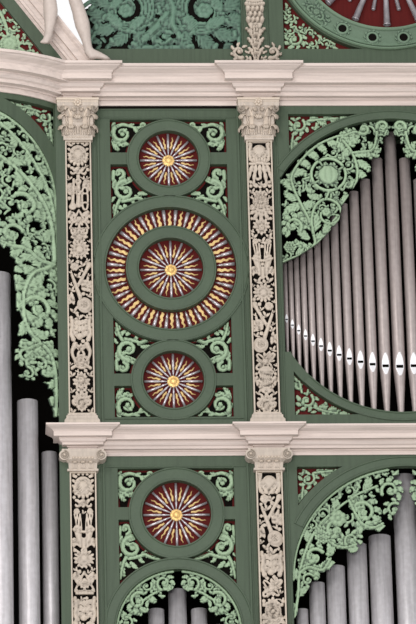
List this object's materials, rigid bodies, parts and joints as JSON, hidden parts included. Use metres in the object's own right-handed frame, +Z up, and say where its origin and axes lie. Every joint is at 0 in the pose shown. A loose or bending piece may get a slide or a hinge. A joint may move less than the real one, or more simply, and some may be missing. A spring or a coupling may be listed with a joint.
{
  "type": "pipe organ front",
  "caption": "Church pipe organ case with two round towers, rosette bays and a centre flat in two storeys, carved pipe shades and a crown",
  "frame": {"origin": "centre of the plinth's foot, on the floor", "axes": "+X along the front to the right as seen from it, +Y into the case, +Z up"},
  "size_m": [8.382, 1.6536, 7.926],
  "materials": {
    "case_green": "grey green oil paint, half matt",
    "board_red": "dark red paint, matt",
    "moulding_white": "warm white paint, half matt",
    "pilaster_cream": "cream paint, half matt",
    "carving_mint": "light green paint with darker hollows",
    "scroll_teal": "blue green paint with darker hollows",
    "pipe_tin": "planed tin and lead alloy, dull grey with a warm cast",
    "gilding": "leaf gilding on carved wood"
  },
  "bodies": {
    "root": {"plinth": "case_green", "pipe_deck": "moulding_white", "side_walls": "case_green", "back_wall": "case_green", "roof_boards": "case_green", "front_posts": "case_green", "tower_jambs": "case_green", "rosette_panels_upper": "case_green", "rosette_panels_lower": "case_green", "centre_arch_upper": "case_green", "centre_sill_upper": "case_green", "centre_arch_lower": "case_green", "tower_heads": "case_green", "red_boards": "board_red", "tower_red_boards": "board_red", "lower_cornice": "moulding_white", "upper_cornice": "moulding_white", "pilaster_shafts_upper": "pilaster_cream", "pilaster_shafts_lower": "pilaster_cream", "capitals_upper": "pilaster_cream", "capitals_lower": "pilaster_cream", "pilaster_bases": "pilaster_cream", "tower_pipes": "pipe_tin", "centre_pipes_upper": "pipe_tin", "centre_pipes_lower": "pipe_tin", "rosette_bay_pipes": "pipe_tin", "tower_shades": "carving_mint", "centre_shades_upper": "carving_mint", "centre_shades_lower": "carving_mint", "rosette_bay_shades": "carving_mint", "rosette_carvings_upper": "carving_mint", "rosette_carvings_lower": "carving_mint", "centre_corner_carvings": "carving_mint", "tower_corner_carvings": "carving_mint", "rosette_pipes": "pipe_tin", "rosette_flames": "gilding", "rosette_hubs": "gilding", "crown_panel": "case_green", "roundel_ring": "carving_mint", "roundel_pipes": "pipe_tin", "crown_corner_carvings": "carving_mint", "crown_cornice": "moulding_white", "herms": "pilaster_cream", "scroll_rails": "case_green", "crown_scrolls": "scroll_teal", "gable_boards": "case_green", "gable_mouldings": "moulding_white", "gable_carvings": "carving_mint", "statues": "pilaster_cream"}
  },
  "joints": []
}
